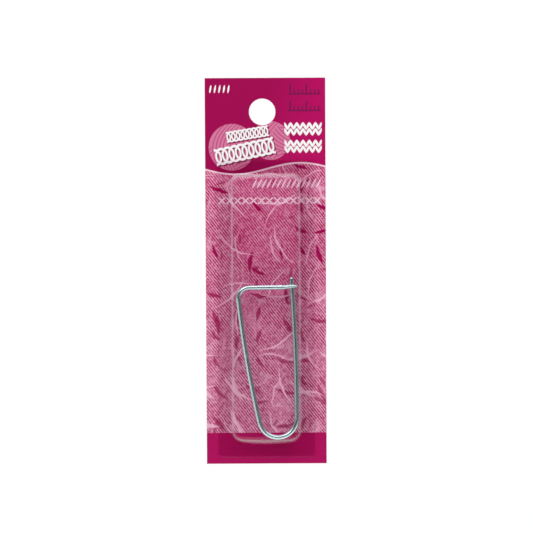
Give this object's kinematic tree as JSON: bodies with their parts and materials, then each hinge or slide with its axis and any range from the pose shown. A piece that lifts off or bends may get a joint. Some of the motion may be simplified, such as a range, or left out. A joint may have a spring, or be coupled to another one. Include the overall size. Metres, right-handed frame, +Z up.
{
  "type": "stitch holder",
  "caption": "Wire stitch holder like a large safety pin, its sprung pin held in a curled catch, loose in a clear blister on a printed hang card with a round peg hole.",
  "frame": {"origin": "centre of the hang hole, halfway through the card's thickness", "axes": "+Z up the card towards its hanging edge, +Y out of the card's back, so the printed front and the blister face -Y"},
  "size_m": [0.0333, 0.0062, 0.107],
  "materials": {
    "printed_card": "printed board, satin",
    "seal_coat": "clear heat-seal coat",
    "clear_film": "clear thermoformed film",
    "wire": "drawn wire, satin anodised"
  },
  "bodies": {
    "card": {"hang_card": "printed_card", "heat_seal_band": "seal_coat"},
    "blister": {"blister_shell": "clear_film"},
    "holder": {"holder_frame": "wire", "spring_bend": "wire"},
    "pin": {"holder_pin": "wire"}
  },
  "joints": [
    {"name": "blister_peel", "type": "hinge", "parent": "card", "child": "blister", "pos_m": [0.0008, -0.00055, -0.0133], "axis": [-1, 0, 0], "range_deg": [0, 100]},
    {"name": "holder_slide", "type": "slide", "parent": "card", "child": "holder", "axis": [0, 0, 1], "range_m": [0, 0.0277]},
    {"name": "pin_squeeze", "type": "hinge", "parent": "holder", "child": "pin", "pos_m": [0.00435, -0.00235, -0.08827], "axis": [0, -1, 0], "range_deg": [0, 10], "stiffness_Nm_per_rad": 0.2, "springref_deg": -8.02, "deforming": ["spring_bend"]}
  ]
}
